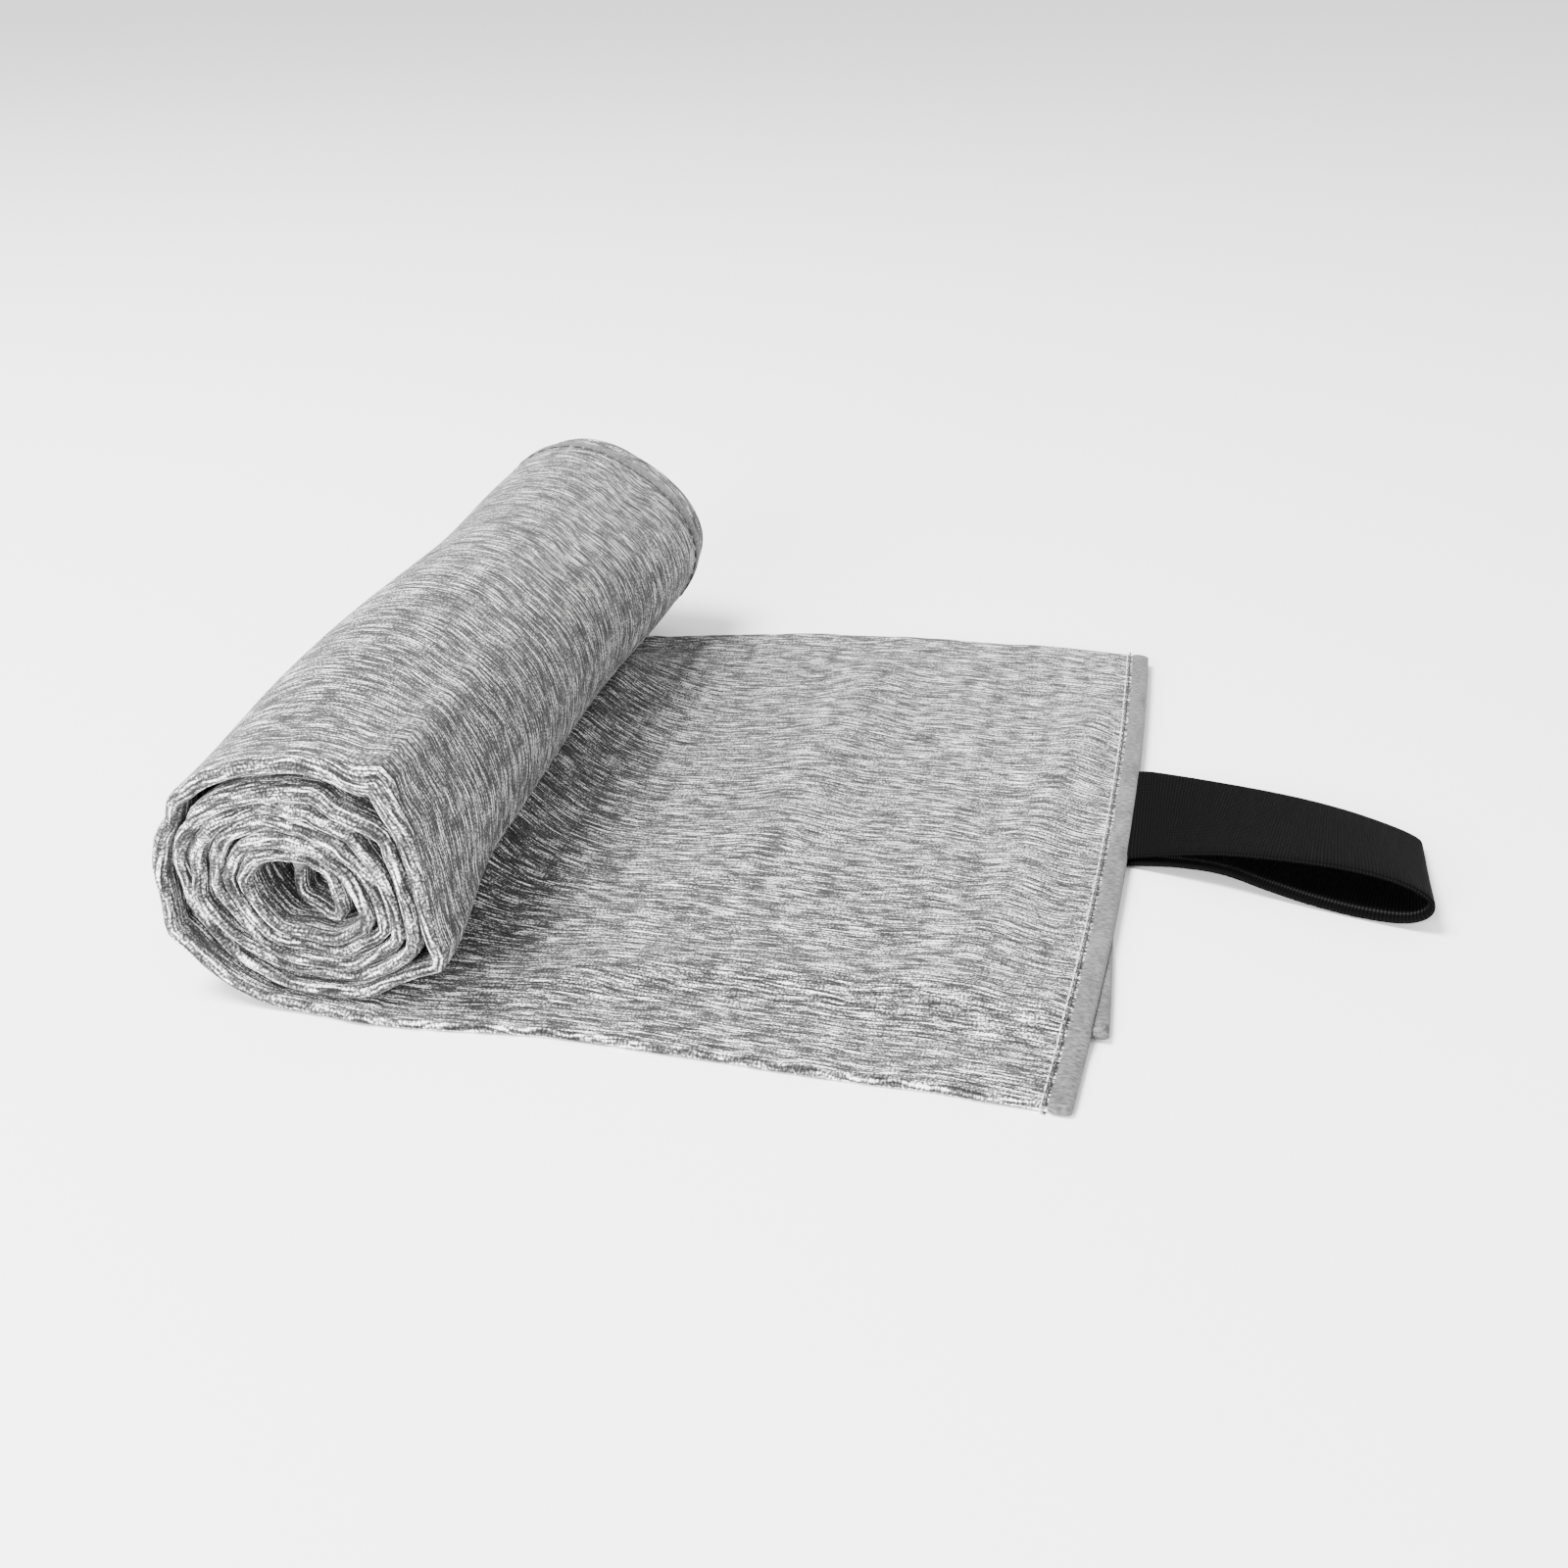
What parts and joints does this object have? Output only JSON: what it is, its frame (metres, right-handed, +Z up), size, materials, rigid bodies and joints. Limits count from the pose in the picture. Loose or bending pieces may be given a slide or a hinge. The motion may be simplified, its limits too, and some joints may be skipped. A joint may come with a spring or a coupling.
{
  "type": "quick dry towel",
  "caption": "Heather-grey knit quick dry towel, folded lengthwise in three and partly rolled up, with a black elastic closing loop sewn to its end hem.",
  "frame": {"origin": "centre of the towel's box on the surface that it lies on", "axes": "+X from the roll towards the elastic loop, +Y away along the roll, +Z up"},
  "size_m": [0.2172, 0.1802, 0.0482],
  "materials": {
    "knit_cloth": "heather grey brushed knit, streaked along the towel's length",
    "overlocked_hem": "smooth mid-grey overlocked edge",
    "seam_thread": "dark grey sewing thread",
    "woven_elastic": "black woven elastic with fine cross ribs"
  },
  "bodies": {
    "roll": {"rolled_cloth": "knit_cloth", "under_lap": "knit_cloth", "core_end_hem": "overlocked_hem", "rolled_edge_hem": "overlocked_hem", "rolled_edge_seam": "seam_thread", "rolled_tucked_hem": "overlocked_hem"},
    "tail": {"tail_cloth": "knit_cloth", "end_hem": "overlocked_hem", "end_hem_seam": "seam_thread", "tail_edge_hem": "overlocked_hem", "tail_edge_seam": "seam_thread", "tail_tucked_hem": "overlocked_hem", "elastic_ends": "woven_elastic", "elastic_seam": "seam_thread"},
    "loop": {"elastic_loop": "woven_elastic"}
  },
  "joints": [
    {"name": "tail_lift", "type": "hinge", "parent": "roll", "child": "tail", "pos_m": [-0.04898, 0, 0.0027], "axis": [0, -1, 0], "range_deg": [0, 85]},
    {"name": "loop_swing", "type": "hinge", "parent": "tail", "child": "loop", "pos_m": [0.05412, 0, 0.00235], "axis": [0, -1, 0], "range_deg": [0, 105]}
  ]
}
